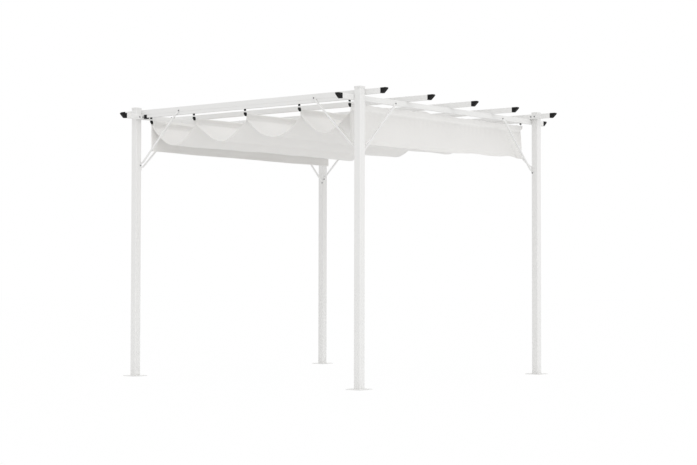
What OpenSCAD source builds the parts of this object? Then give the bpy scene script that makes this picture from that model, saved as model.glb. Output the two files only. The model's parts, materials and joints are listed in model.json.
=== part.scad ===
// Pergola with a retractable canopy: four square posts, two beams, five rafters,
// and a cloth canopy that hangs in swags from five bars and slides on two rails.
// X runs along the rafters, Y along the beams and Z up, in millimetres. The origin is
// in the middle of the plan, level with the underside of the base plates.

/* [Frame] */
// Distance between the centre lines of neighbouring posts, along X and along Y
post_spacing = 2470; // [2200:10:3200]
// Height of the top of the post caps above the ground
height = 2300; // [2100:10:2800]
// Width of the square posts
post_w = 60; // [54:1:80]
// Wall of the posts
post_wall = 1.2; // [1:0.1:2.5]
// Outer corner radius of the posts
post_r = 5; // [4:0.5:8]
// Height that the post caps stand above the rafters
post_above = 20; // [18:1:60]
// Height of the beams and the rafters
beam_h = 42; // [40:1:70]
// Width of the beams and the rafters
beam_w = 30; // [26:1:44]
// Wall of the beams and the rafters
beam_wall = 1.2; // [1:0.1:2]
// Outer corner radius of the beams and the rafters
beam_r = 2.5; // [2:0.5:4]
// Reach of the rafter tips past the post centre lines
rafter_reach = 230; // [160:5:400]
// Reach of the beam tips past the post centre lines
beam_reach = 219; // [160:1:400]

/* [Grooves and caps] */
// Width of the lengthwise grooves in the posts, beams and rafters
groove_w = 4; // [2:0.5:5]
// Depth of the grooves
groove_d = 0.6; // [0.3:0.1:0.7]
// Distance of each post groove from the middle of its face
post_groove_at = 11; // [6:1:16]
// Distance of each beam groove from the middle of the side face
beam_groove_at = 9; // [6:1:12]
// Length of the black end caps along their top edge
cap_top_l = 54; // [40:1:90]
// Length of the black end caps along their bottom edge
cap_bottom_l = 20; // [10:1:36]
// Height of the upright tip of the black end caps
cap_tip_h = 12; // [4:1:20]
// Length of the plug of an end cap inside its tube
cap_plug_l = 22; // [12:1:40]
// Height of the skirt of the post caps
post_cap_h = 16; // [12:1:18]
// Thickness of the post cap's wall
post_cap_wall = 2; // [1.5:0.1:3]
// Depth of the post cap's plug inside the post
post_cap_plug = 12; // [8:1:20]

/* [Feet] */
// Width of the square base plates
plate_w = 150; // [130:5:220]
// Thickness of the base plates
plate_t = 5; // [4:0.5:10]
// Corner radius of the base plates
plate_r = 8; // [4:1:16]
// Distance between neighbouring anchor holes
anchor_spacing = 110; // [100:1:170]
// Diameter of the anchor holes
anchor_d = 11; // [8:0.5:14]
// Height of the spigot that stands inside the post
spigot_h = 90; // [70:5:160]
// Wall of the spigot
spigot_wall = 2; // [1.5:0.1:3]
// Height of the foot screws above the ground
foot_screw_z = 50; // [30:1:70]

/* [Braces] */
// Width of the square brace tube
brace_w = 12; // [10:1:18]
// Wall of the brace tube
brace_wall = 1.2; // [1:0.1:2]
// Thickness of the flattened brace ends
tongue_t = 3; // [2:0.5:4]
// Width of the flattened brace ends
tongue_w = 20; // [18:1:24]
// Distance of the upper brace bolt from the post
brace_run = 455; // [350:5:600]
// Height of the upper brace bolt above the lower one
brace_rise = 444; // [350:1:600]
// Height of a rafter's brace bolt above the underside of the rafter
rafter_bolt_up = 9; // [8:1:24]
// Height of a beam's brace bolt above the underside of the beam
beam_bolt_up = 15; // [12:1:28]

/* [Bolts] */
// Diameter of the bolts
bolt_d = 6; // [5:0.5:8]
// Diameter of the bolt heads
head_d = 13; // [11:0.5:14]
// Height of the bolt heads
head_h = 4; // [3:0.5:6]
// Distance of each post bolt from the post centre line
post_bolt_at = 18; // [12:1:20]
// Diameter of the small screws
screw_d = 4.5; // [4:0.5:5]

/* [Slide rails] */
// Width of the slide rails
rail_w = 24; // [22:1:30]
// Height of the slide rails
rail_h = 26; // [21:1:32]
// Wall of the slide rails
rail_wall = 2; // [1.5:0.1:2.5]
// Width of the slot along the underside of the rails
slot_w = 9; // [7:0.5:11]
// Length of the black stops that sleeve the ends of the rails
stop_l = 32; // [24:1:44]
// Wall of the stops around the rail
stop_wall = 3; // [2:0.5:4]
// Depth of the stops below the underside of the rail
stop_foot = 7; // [3:0.5:12]
// Number of screws that hold each rail up
rail_screw_count = 5; // [3:1:9]
// Distance of the outermost rail screws from the ends of the rails
rail_screw_inset = 117; // [60:1:240]

/* [Carriers] */
// Length of the glide that runs in the rail
glide_l = 36; // [24:1:50]
// Width of the carrier's body along the rail
carrier_w = 16; // [14:1:30]
// Height of the block under the rail
block_h = 14; // [10:1:20]
// Depth of the block under the rail, across the rail
block_d = 12; // [11:1:18]
// Height of the hook that holds the bar
hook_h = 30; // [26:1:36]
// Depth of the hook across the rail
hook_d = 14; // [12:1:20]
// How far the foot of the hook leans in under the canopy
hook_lean = 6; // [4:1:10]
// Diameter of the hanger pin between the block and the hook
hanger_d = 5; // [4:0.5:6]

/* [Canopy] */
// Diameter of the canopy bars
bar_d = 12; // [10:0.5:13]
// Wall of the canopy bars
bar_wall = 1.2; // [1:0.1:2]
// Depth of the bar below the underside of the rails
bar_drop = 42; // [38:1:50]
// Distance of the end bars from the side faces of the beams
end_bar_gap = 75; // [70:1:200]
// Spacing of the three middle bars
mid_bay = 585; // [400:5:640]
// Distance of the cloth's edges from the centre lines of the rails
cloth_inset = 18; // [17:1:40]
// Thickness that stands for the cloth
cloth_t = 1.6; // [1:0.1:2]
// Depth of the sewn sleeve below the centre of its bar
sleeve_drop = 45; // [24:1:60]
// Depth of each swag at the front edge, from its sewn line, from left to right
swag_drops = [167, 160, 153, 151]; // [80:1:260]
// How much less deep the swags hang at the rear edge
swag_rise = 12; // [0:1:40]
// Roundness of each swag, from left to right: a V at 1 and a parabola at 2
swag_powers = [1.45, 1.35, 1.65, 1.65]; // [1.3:0.05:2.2]
// Length of the left valance below its sleeve, at the front edge
left_valance = 199; // [120:1:320]
// Length of the right valance below its sleeve, at the front edge
right_valance = 245; // [120:1:320]
// How much shorter the left valance is at the rear edge
left_taper = 15; // [0:1:60]
// How much shorter the right valance is at the rear edge
right_taper = 45; // [0:1:80]
// Depth of the soft folds along the hem of the valances
fold_depth = 8; // [2:1:12]

/* [Hidden] */

// Corners as signs along X and Y
FRONT_LEFT = [-1, -1];
FRONT_RIGHT = [1, -1];
REAR_RIGHT = [1, 1];
REAR_LEFT = [-1, 1];
CORNERS = [FRONT_LEFT, FRONT_RIGHT, REAR_RIGHT, REAR_LEFT];

// Clearances
seat_gap = 0.3;
hole_gap = 0.4;
slide_gap = 0.5;
spigot_gap = 0.4;
nut_gap = 0.2;
pin_gap = 0.2;

// Places in plan
post_at = post_spacing / 2;
inner_face = post_at - post_w / 2;
outer_face = post_at + post_w / 2;
beam_at = inner_face - beam_w / 2;
beam_inner = inner_face - beam_w;
rail_at = beam_at;
rafter_rows = [-rail_at, -rail_at / 2, 0, rail_at / 2, rail_at];

// Heights
rafter_top = height - post_above;
rafter_bottom = rafter_top - beam_h;
beam_bottom = rafter_bottom - beam_h;
rafter_mid = rafter_top - beam_h / 2;
beam_mid = rafter_bottom - beam_h / 2;
rail_bottom = rafter_bottom - rail_h;
lip_top = rail_bottom + rail_wall;
bar_z = rail_bottom - bar_drop;
sleeve_bottom = bar_z - sleeve_drop;
post_top = height - post_cap_wall;
rafter_brace_z = rafter_bottom + rafter_bolt_up - brace_rise;
beam_brace_z = beam_bottom + beam_bolt_up - brace_rise;

// Lengths
rafter_half = post_at + rafter_reach - cap_top_l;
beam_half = post_at + beam_reach - cap_top_l;
rail_half = beam_inner - stop_wall;
brace_l = sqrt(brace_run * brace_run + brace_rise * brace_rise);
brace_angle = atan2(brace_rise, brace_run);

// Bars, from the fixed left end to the pulling right end
end_bar = beam_inner - end_bar_gap;
bars = [-end_bar, -mid_bay, 0, mid_bay, end_bar];
cloth_edge = rail_at - cloth_inset;
bar_end = rail_at - hook_lean / 2;
sleeve_r = bar_d / 2 + seat_gap + cloth_t;

// Holes and fasteners
bolt_hole = bolt_d + hole_gap;
screw_hole = screw_d + hole_gap;
nut_w = bolt_d * 5 / 3;
nut_h = bolt_d * 0.85;
screw_head_d = screw_d * 2;
screw_head_h = screw_d * 0.55;
// The lower brace bolts keep their nuts clear of the rounded corner of the post
brace_bolt_in = post_r + nut_w / 2;
// Hanger pins, as heights above the middle of the bar
block_foot = bar_drop - slide_gap - block_h;
hanger_bottom = bar_d / 2 + 1.5;
hanger_top = block_foot + block_h - 4;
rail_screw_span = rail_half - rail_screw_inset;
rail_screw_rows = [
    for (k = [0:rail_screw_count - 1]) rail_screw_span * (2 * k / (rail_screw_count - 1) - 1)
];
glide_h = rail_h - 2 * rail_wall - screw_head_h - seat_gap - slide_gap;
lock_screw_x = bars[0] + glide_l / 2 + slide_gap + screw_d / 2;

// Numbers of facets of the cloth
ROWS_ACROSS = 8;
ROWS_SWAG = 26;
ROWS_VALANCE = 40;
ROWS_DROP = 7;

WHITE = [0.92, 0.92, 0.91];
BLACK = [0.05, 0.05, 0.05];
CREAM = [0.93, 0.92, 0.90];
STEEL = [0.75, 0.76, 0.78];

function mix(a, b, t) = a + (b - a) * t;

// Points of a quarter turn about c, starting at a0 degrees
function corner(c, r, a0) = [
    for (k = [0:6]) c + r * [cos(a0 + 15 * k), sin(a0 + 15 * k)]
];

// A groove across the side that runs from its middle along the direction d, with the
// inward direction n: four points, at the distance s from the middle m
function groove(m, d, n, s) = [
    m + d * (s - groove_w / 2),
    m + d * (s - groove_w / 2 + groove_d) + n * groove_d,
    m + d * (s + groove_w / 2 - groove_d) + n * groove_d,
    m + d * (s + groove_w / 2)
];

// Outline of a rounded tube of the size w by h, with two grooves at the distances gx from
// the middle of the lower and upper sides and gy from the middle of the other two, or with
// none where the distance is 0
function tube_outline(w, h, r, gx = 0, gy = 0) = concat(
    gx == 0 ? [] : [for (s = [-gx, gx]) each groove([0, -h / 2], [1, 0], [0, 1], s)],
    corner([w / 2 - r, r - h / 2], r, -90),
    gy == 0 ? [] : [for (s = [-gy, gy]) each groove([w / 2, 0], [0, 1], [-1, 0], s)],
    corner([w / 2 - r, h / 2 - r], r, 0),
    gx == 0 ? [] : [for (s = [-gx, gx]) each groove([0, h / 2], [-1, 0], [0, -1], s)],
    corner([r - w / 2, h / 2 - r], r, 90),
    gy == 0 ? [] : [for (s = [-gy, gy]) each groove([-w / 2, 0], [0, -1], [1, 0], s)],
    corner([r - w / 2, r - h / 2], r, 180)
);

// A tube from z = 0 to z = l
module tube(w, h, r, wall, l, gx = 0, gy = 0) {
    difference() {
        linear_extrude(l)
            polygon(tube_outline(w, h, r, gx, gy));
        translate([0, 0, -1])
            linear_extrude(l + 2)
                polygon(tube_outline(w - 2 * wall, h - 2 * wall, max(r - wall, 0.8)));
    }
}

// Turns something made along Z so that it lies along X or Y, upright as it was drawn
module along_x() {
    rotate([90, 0, 90])
        children();
}

module along_y() {
    rotate([90, 0, 180])
        children();
}

// Puts a piece that was made for the front left corner into the corner c. Its origin is
// where the inner faces of the post meet, and it reaches inward along +X and +Y.
module in_corner(c) {
    translate([c[0] * inner_face, c[1] * inner_face, 0])
        mirror([c[0] > 0 ? 1 : 0, 0, 0])
            mirror([0, c[1] > 0 ? 1 : 0, 0])
                children();
}

// A bore of the diameter d along X, Y or Z, from the origin towards plus
module bore_x(d, l) {
    rotate([0, 90, 0])
        cylinder(h = l, d = d, $fn = 32);
}

module bore_y(d, l) {
    rotate([-90, 0, 0])
        cylinder(h = l, d = d, $fn = 32);
}

// A bolt whose head stands on the plane z = 0 and whose shank points down, with its nut
module bolt(grip, nut_at) {
    head_top = head_d * 0.62;
    rotate_extrude($fn = 32)
        polygon([
            [0, -grip], [bolt_d / 2, -grip], [bolt_d / 2, 0], [head_d / 2, 0],
            [head_d / 2, head_h * 0.4], [head_top / 2, head_h], [0, head_h]
        ]);
    translate([0, 0, nut_at - nut_h])
        difference() {
            cylinder(h = nut_h, d = nut_w / cos(30), $fn = 6);
            translate([0, 0, -1])
                cylinder(h = nut_h + 2, d = bolt_d + nut_gap, $fn = 32);
        }
}

// A pan head screw on the plane z = 0, pointing down
module screw(l) {
    rotate_extrude($fn = 24)
        polygon([
            [0, -l], [screw_d / 2 - 1, -l], [screw_d / 2, 1 - l], [screw_d / 2, 0],
            [screw_head_d / 2, 0], [screw_head_d / 2, screw_head_h * 0.5],
            [screw_head_d / 3, screw_head_h], [0, screw_head_h]
        ]);
}

// Posts
module post(c) {
    x = c[0] * post_at;
    y = c[1] * post_at;
    color(WHITE)
        difference() {
            translate([x, y, plate_t])
                tube(post_w, post_w, post_r, post_wall, post_top - plate_t,
                    post_groove_at, post_groove_at);
            in_corner(c) {
                for (s = [-1, 1]) {
                    at = -post_w / 2 + s * post_bolt_at;
                    translate([-post_wall - 1, at, beam_mid])
                        bore_x(bolt_hole, post_wall + 2);
                    translate([at, -post_wall - 1, rafter_mid])
                        bore_y(bolt_hole, post_wall + 2);
                }
                translate([-post_wall - 1, -brace_bolt_in, rafter_brace_z])
                    bore_x(bolt_hole, post_wall + 2);
                translate([-brace_bolt_in, -post_wall - 1, beam_brace_z])
                    bore_y(bolt_hole, post_wall + 2);
                translate([-post_w / 2, -post_w - 1, foot_screw_z])
                    bore_y(screw_hole, post_w + 2);
            }
        }
}

// Feet: a plate with four anchor holes and a spigot that stands inside the post
module base(c) {
    spigot_w = post_w - 2 * post_wall - 2 * spigot_gap;
    color(WHITE)
        translate([c[0] * post_at, c[1] * post_at, 0])
            difference() {
                union() {
                    linear_extrude(plate_t)
                        polygon(tube_outline(plate_w, plate_w, plate_r));
                    translate([0, 0, plate_t])
                        tube(spigot_w, spigot_w, post_r - post_wall, spigot_wall, spigot_h);
                }
                for (i = [-1, 1], j = [-1, 1])
                    translate([i * anchor_spacing / 2, j * anchor_spacing / 2, -1])
                        cylinder(h = plate_t + 2, d = anchor_d, $fn = 48);
                translate([0, -spigot_w / 2 - 1, foot_screw_z])
                    bore_y(screw_hole, spigot_w + 2);
            }
}

module post_cap() {
    skirt = post_w + 2 * seat_gap + 2 * post_cap_wall;
    plug = post_w - 2 * post_wall - 2 * seat_gap;
    r = post_r + seat_gap + post_cap_wall;
    edge = post_cap_wall * 0.75;
    tube(skirt, skirt, r, post_cap_wall, post_cap_h - post_cap_wall);
    translate([0, 0, post_cap_h - post_cap_wall])
        linear_extrude(post_cap_wall - edge)
            polygon(tube_outline(skirt, skirt, r));
    hull() {
        translate([0, 0, post_cap_h - edge - 0.01])
            linear_extrude(0.01)
                polygon(tube_outline(skirt, skirt, r));
        translate([0, 0, post_cap_h - 0.01])
            linear_extrude(0.01)
                polygon(tube_outline(skirt - 2 * edge, skirt - 2 * edge, r - edge));
    }
    translate([0, 0, post_cap_h - post_cap_wall - post_cap_plug])
        tube(plug, plug, post_r - post_wall, post_cap_wall, post_cap_plug);
}

module post_caps() {
    color(WHITE)
        for (c = CORNERS)
            translate([c[0] * post_at, c[1] * post_at, height - post_cap_h])
                post_cap();
}

// Beams along Y, on the inner faces of the posts
module beam(side) {
    color(WHITE)
        difference() {
            translate([side * beam_at, -beam_half, beam_mid])
                along_y()
                    tube(beam_w, beam_h, beam_r, beam_wall, 2 * beam_half, 0, beam_groove_at);
            for (c = [[side, -1], [side, 1]])
                in_corner(c) {
                    for (s = [-1, 1])
                        translate([-1, -post_w / 2 + s * post_bolt_at, beam_mid])
                            bore_x(bolt_hole, beam_w + 2);
                    translate([-1, brace_run, beam_bottom + beam_bolt_up])
                        bore_x(bolt_hole, beam_w + 2);
                }
            for (y = rafter_rows)
                if (abs(y) < rail_at)
                    translate([side * beam_at, y, rafter_bottom - beam_wall - 1])
                        cylinder(h = beam_wall + 2, d = bolt_hole, $fn = 32);
        }
}

// Rafters along X, on top of the beams
module rafter(y) {
    color(WHITE)
        difference() {
            translate([-rafter_half, y, rafter_mid])
                along_x()
                    tube(beam_w, beam_h, beam_r, beam_wall, 2 * rafter_half, 0, beam_groove_at);
            if (abs(y) < rail_at)
                for (side = [-1, 1])
                    translate([side * beam_at, y, rafter_bottom - 1])
                        cylinder(h = beam_h + 2, d = bolt_hole, $fn = 32);
            else {
                for (side = [-1, 1])
                    in_corner([side, y < 0 ? -1 : 1]) {
                        for (s = [-1, 1])
                            translate([-post_w / 2 + s * post_bolt_at, -1, rafter_mid])
                                bore_y(bolt_hole, beam_w + 2);
                        translate([brace_run, -1, rafter_bottom + rafter_bolt_up])
                            bore_y(bolt_hole, beam_w + 2);
                    }
                for (x = rail_screw_rows)
                    translate([x, y, rafter_bottom - 1])
                        cylinder(h = beam_wall + 2, d = screw_hole, $fn = 24);
            }
        }
}

// Outline of a black end cap seen from the side, from the end of its tube outward
function cap_outline() = [
    [0, -beam_h / 2], [cap_bottom_l - 4, -beam_h / 2], [cap_bottom_l, 1.5 - beam_h / 2],
    [cap_top_l - 2, beam_h / 2 - cap_tip_h], [cap_top_l, beam_h / 2 - cap_tip_h + 3],
    [cap_top_l, beam_h / 2 - 3], [cap_top_l - 3, beam_h / 2], [0, beam_h / 2]
];

module end_cap() {
    plug_w = beam_w - 2 * beam_wall - 2 * seat_gap;
    plug_h = beam_h - 2 * beam_wall - 2 * seat_gap;
    rotate([90, 0, 0])
        translate([0, 0, -beam_w / 2])
            linear_extrude(beam_w)
                polygon(cap_outline());
    translate([-cap_plug_l, 0, 0])
        along_x()
            tube(plug_w, plug_h, 1.5, 2, cap_plug_l);
}

module beam_end_caps() {
    color(BLACK)
        for (side = [-1, 1], end = [-1, 1])
            translate([side * beam_at, end * beam_half, beam_mid])
                rotate([0, 0, 90 * end])
                    end_cap();
}

module rafter_end_caps() {
    color(BLACK)
        for (y = rafter_rows, end = [0, 180])
            translate([cos(end) * rafter_half, y, rafter_mid])
                rotate([0, 0, end])
                    end_cap();
}

// Outline of a slide rail seen along X, with its slot below and z = 0 on its underside.
// The gap g makes it larger all round.
function rail_outline(g) = [
    [-slot_w / 2 + g, -g], [-rail_w / 2 - g, -g], [-rail_w / 2 - g, rail_h + g],
    [rail_w / 2 + g, rail_h + g], [rail_w / 2 + g, -g], [slot_w / 2 - g, -g],
    [slot_w / 2 - g, rail_wall + g], [rail_w / 2 - rail_wall - g, rail_wall + g],
    [rail_w / 2 - rail_wall - g, rail_h - rail_wall - g],
    [rail_wall + g - rail_w / 2, rail_h - rail_wall - g],
    [rail_wall + g - rail_w / 2, rail_wall + g], [-slot_w / 2 + g, rail_wall + g]
];

module slide_rail(side) {
    color(WHITE)
        difference() {
            translate([-rail_half, side * rail_at, rail_bottom])
                along_x()
                    linear_extrude(2 * rail_half)
                        polygon(rail_outline(0));
            for (x = rail_screw_rows)
                translate([x, side * rail_at, rafter_bottom - rail_wall - 1])
                    cylinder(h = rail_wall + 2, d = screw_hole, $fn = 24);
            translate([lock_screw_x, side * rail_at - rail_w / 2 - 1, lip_top + glide_h / 2])
                bore_y(screw_hole, rail_w + 2);
        }
}

// A stop sleeves each end of a rail, and its tongue in the channel meets the end carrier
module rail_end_stops() {
    tongue_end = end_bar + glide_l / 2 + slide_gap;
    inner_w = rail_w - 2 * rail_wall - 2 * slide_gap;
    color(BLACK)
        for (side = [-1, 1], end = [0, 180])
            translate([0, side * rail_at, rail_bottom])
                rotate([0, 0, end]) {
                    difference() {
                        translate([beam_inner - stop_l, -rail_w / 2 - stop_wall, -stop_foot])
                            cube([stop_l, rail_w + 2 * stop_wall, rail_h + stop_foot]);
                        translate([beam_inner - stop_l - 1, 0, 0])
                            along_x()
                                linear_extrude(stop_l + 1 - stop_wall)
                                    polygon(rail_outline(seat_gap));
                    }
                    translate([tongue_end, -inner_w / 2, rail_wall + slide_gap])
                        cube([beam_inner - stop_l - tongue_end + 1, inner_w, glide_h]);
                }
}

module rail_screws() {
    color(WHITE)
        for (side = [-1, 1], x = rail_screw_rows)
            translate([x, side * rail_at, rafter_bottom - rail_wall])
                rotate([180, 0, 0])
                    screw(10);
}

// Two screws across the rails hold the carriers of the first bar at the left end
module rail_lock_screws() {
    color(WHITE)
        for (side = [-1, 1])
            translate([lock_screw_x, side * (rail_at - rail_w / 2), lip_top + glide_h / 2])
                rotate([90 * side, 0, 0])
                    screw(rail_w);
}

// Outline of a brace's tube and foot, seen from the side: it starts on the post's face and
// runs from s0 to s1 along the line between the two bolts
function brace_outline(s0, s1) =
    let (
        u = [brace_run, brace_rise] / brace_l,
        n = [-u[1], u[0]] * brace_w / 2
    )
        [
            [0, tongue_w * 0.7], [tongue_t, tongue_w * 0.7], s0 * u - n,
            s1 * u - n, s1 * u + n, s0 * u + n, [0, tongue_w]
        ];

// A brace made for the front left corner, from the post along X. Its lower tongue lies on
// the post's face x = 0, and its upper one on the plane y = 0 of the rafter's side.
module brace() {
    s0 = 38;
    s1 = brace_l - 36;
    foot_w = brace_bolt_in + tongue_w / 2;
    foot_top = tongue_w * 0.95;
    neck = 14;
    color(WHITE)
        difference() {
            union() {
                translate([0, -brace_bolt_in, 0])
                    bore_x(tongue_w, tongue_t);
                along_x()
                    linear_extrude(tongue_t)
                        polygon([
                            [0, 0], [0, foot_top], [1 - brace_w, foot_top],
                            [-foot_w, foot_top - foot_w + brace_w - 1], [-foot_w, 0]
                        ]);
                difference() {
                    rotate([90, 0, 0])
                        linear_extrude(brace_w)
                            polygon(brace_outline(s0, s1));
                    rotate([0, -brace_angle, 0])
                        translate([s0 + 2, brace_wall - brace_w, brace_wall - brace_w / 2])
                            cube([s1 - s0 - 4, brace_w - 2 * brace_wall, brace_w - 2 * brace_wall]);
                }
                rotate([0, -brace_angle, 0]) {
                    hull() {
                        translate([s1 - 1, -brace_w, -brace_w / 2])
                            cube([1, brace_w, brace_w]);
                        translate([brace_l - neck - 2, -tongue_t, -tongue_w / 2])
                            cube([2, tongue_t, tongue_w]);
                    }
                    translate([brace_l - neck, -tongue_t, -tongue_w / 2])
                        cube([neck, tongue_t, tongue_w]);
                    translate([brace_l, -tongue_t, 0])
                        bore_y(tongue_w, tongue_t);
                }
            }
            translate([-1, -brace_bolt_in, 0])
                bore_x(bolt_hole, tongue_t + 2);
            translate([brace_run, -tongue_t - 1, brace_rise])
                bore_y(bolt_hole, tongue_t + 2);
        }
}

// The braces of the corner c: one under the rafter, one under the beam
module rafter_brace(c) {
    in_corner(c)
        translate([0, 0, rafter_brace_z])
            brace();
}

module beam_brace(c) {
    in_corner(c)
        mirror([1, -1, 0])
            translate([0, 0, beam_brace_z])
                brace();
}

// Bolts of one brace, in the same place as the brace: the lower one holds a nut inside
// the post, the upper one goes through the rafter or beam
module brace_bolt_pair() {
    translate([tongue_t, -brace_bolt_in, 0])
        rotate([0, 90, 0])
            bolt(tongue_t + post_wall + nut_h + 3, -tongue_t - post_wall);
    translate([brace_run, -tongue_t, brace_rise])
        rotate([90, 0, 0])
            bolt(tongue_t + beam_w + nut_h + 2, -tongue_t - beam_w);
}

module brace_bolts() {
    color(BLACK)
        for (c = CORNERS)
            in_corner(c) {
                translate([0, 0, rafter_brace_z])
                    brace_bolt_pair();
                mirror([1, -1, 0])
                    translate([0, 0, beam_brace_z])
                        brace_bolt_pair();
            }
}

// Bolts through the beams and the outer rafters into the posts
module post_bolt_pair(z) {
    for (s = [-1, 1])
        translate([beam_w, -post_w / 2 + s * post_bolt_at, z])
            rotate([0, 90, 0])
                bolt(beam_w + post_wall + nut_h + 3, -beam_w - post_wall);
}

module beam_bolts() {
    color(BLACK)
        for (c = CORNERS)
            in_corner(c)
                post_bolt_pair(beam_mid);
}

module rafter_bolts() {
    color(BLACK)
        for (c = CORNERS)
            in_corner(c)
                mirror([1, -1, 0])
                    post_bolt_pair(rafter_mid);
}

// Bolts down through the middle rafters into the beams
module crossing_bolts() {
    color(WHITE)
        for (side = [-1, 1], y = rafter_rows)
            if (abs(y) < rail_at)
                translate([side * beam_at, y, rafter_top])
                    bolt(beam_h + beam_wall + nut_h + 3, -beam_h - beam_wall);
}

module foot_screws() {
    color(WHITE)
        for (c = CORNERS, side = [-1, 1])
            translate([c[0] * post_at, c[1] * post_at + side * post_w / 2, foot_screw_z])
                rotate([-90 * side, 0, 0])
                    screw(9);
}

// Canopy bars along Y, held by a carrier on each rail, and the two hanger pins that join
// the blocks of these carriers to their hooks
module canopy_bar(i) {
    color(STEEL) {
        translate([bars[i], -bar_end, bar_z])
            rotate([-90, 0, 0])
                difference() {
                    cylinder(h = 2 * bar_end, d = bar_d, $fn = 48);
                    translate([0, 0, -1])
                        cylinder(h = 2 * bar_end + 2, d = bar_d - 2 * bar_wall, $fn = 48);
                }
        for (side = [-1, 1])
            translate([bars[i], side * rail_at, bar_z + hanger_bottom])
                cylinder(h = hanger_top - hanger_bottom, d = hanger_d, $fn = 32);
    }
}

// Outline of the hook seen along X: it leans in from under the rail to the bar's end.
// The first number points inward from the rail's centre line, the second up from the bar.
function hook_outline(top, foot) = [
    [-hook_d / 2, top], [hook_d / 2, top], [hook_d / 2 + hook_lean, top - 5],
    [hook_d / 2 + hook_lean, foot + 5], [hook_d / 2 + hook_lean - 4, foot],
    [hook_lean - 2, foot], [hook_lean - hook_d / 2, foot + 10], [-hook_d / 2, top - 14]
];

// A carrier on the front rail: a glide in the channel and a block under the rail, joined
// by a neck in the slot, and below them the hook, which hangs from its pin
module carrier() {
    glide_w = rail_w - 2 * rail_wall - 2 * slide_gap;
    neck_w = slot_w - 2 * slide_gap;
    lip = bar_drop + rail_wall + seat_gap;
    hook_top = hook_h / 2;
    foot = -hook_h / 2;
    side = carrier_w * 0.22;
    difference() {
        union() {
            translate([-glide_l / 2, -glide_w / 2, lip])
                cube([glide_l, glide_w, glide_h]);
            translate([-carrier_w * 0.36, -neck_w / 2, block_foot + 1])
                cube([carrier_w * 0.72, neck_w, lip - block_foot]);
            translate([-carrier_w * 0.41, -block_d / 2, block_foot])
                cube([carrier_w * 0.82, block_d, block_h]);
            intersection() {
                translate([-carrier_w / 2, 0, 0])
                    along_x()
                        linear_extrude(carrier_w)
                            polygon(hook_outline(hook_top, foot));
                rotate([90, 0, 0])
                    translate([0, 0, -hook_d - hook_lean])
                        linear_extrude(2 * hook_d + 2 * hook_lean)
                            polygon([
                                [-carrier_w / 2, hook_top], [-carrier_w / 2, -bar_d / 2],
                                [-carrier_w / 2 + side, foot], [carrier_w / 2 - side, foot],
                                [carrier_w / 2, -bar_d / 2], [carrier_w / 2, hook_top]
                            ]);
            }
        }
        translate([0, hook_lean / 2 - seat_gap, 0])
            bore_y(bar_d + 0.2, hook_d + hook_lean);
        translate([0, 0, hanger_bottom - seat_gap])
            cylinder(h = hanger_top - hanger_bottom + 2 * seat_gap, d = hanger_d + pin_gap, $fn = 32);
    }
}

module carriers(i) {
    color(BLACK)
        for (side = [-1, 1])
            translate([bars[i], side * rail_at, bar_z])
                rotate([0, 0, side > 0 ? 180 : 0])
                    carrier();
}

// The sewn sleeve round a bar, closed below it by the seam that the cloth hangs from
module canopy_sleeve(i) {
    color(CREAM)
        translate([bars[i], -cloth_edge, bar_z])
            along_y()
                linear_extrude(2 * cloth_edge)
                    difference() {
                        union() {
                            circle(r = sleeve_r, $fn = 40);
                            translate([-cloth_t, -sleeve_drop])
                                square([2 * cloth_t, sleeve_drop]);
                        }
                        circle(r = bar_d / 2 + seat_gap, $fn = 40);
                    }
}

// A sheet between the point grids a and b, which run along +Y and are seen from the side
// of a, with the given numbers of steps across and down
module sheet(a, b, across, down) {
    n = across + 1;
    m = n * (down + 1);
    quads = [
        for (j = [0:down - 1], i = [0:across - 1])
            let (p = j * n + i)
                each [[p, p + 1, p + n + 1, p + n], [m + p + n, m + p + n + 1, m + p + 1, m + p]],
        for (i = [0:across - 1])
            let (p = down * n + i)
                each [[m + i, m + i + 1, i + 1, i], [p, p + 1, m + p + 1, m + p]],
        for (j = [0:down - 1])
            let (p = j * n, q = j * n + across)
                each [[m + p, p, p + n, m + p + n], [q, m + q, m + q + n, q + n]]
    ];
    polyhedron(
        points = concat(a, b),
        faces = [for (q = quads) each [[q[0], q[1], q[2]], [q[0], q[2], q[3]]]]
    );
}

// How far the swag i has dropped at the share u of its way from one bar to the next
function swag(i, u) = 1 - pow(abs(2 * u - 1), swag_powers[i]);

// The cloth between the bars i and i + 1, which hangs from their sleeves
module canopy_panel(i) {
    edge = 1.5 * cloth_t + seat_gap;
    x0 = bars[i] + edge;
    x1 = bars[i + 1] - edge;
    top = sleeve_bottom + 2 * cloth_t;
    step = 0.5 / ROWS_SWAG;
    grid = function (side) [
        for (j = [0:ROWS_SWAG], k = [0:ROWS_ACROSS])
            let (
                u = j / ROWS_SWAG,
                s = k / ROWS_ACROSS,
                depth = swag_drops[i] - swag_rise * s,
                fall = depth * (swag(i, min(u + step, 1)) - swag(i, max(u - step, 0))),
                way = (x1 - x0) * (min(u + step, 1) - max(u - step, 0)),
                n = [fall, way] / norm([fall, way]) * side * cloth_t / 2
            )
                [mix(x0, x1, u) + n[0], mix(-cloth_edge, cloth_edge, s), top - depth * swag(i, u) + n[1]]
    ];
    color(CREAM)
        sheet(grid(1), grid(-1), ROWS_ACROSS, ROWS_SWAG);
}

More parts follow.
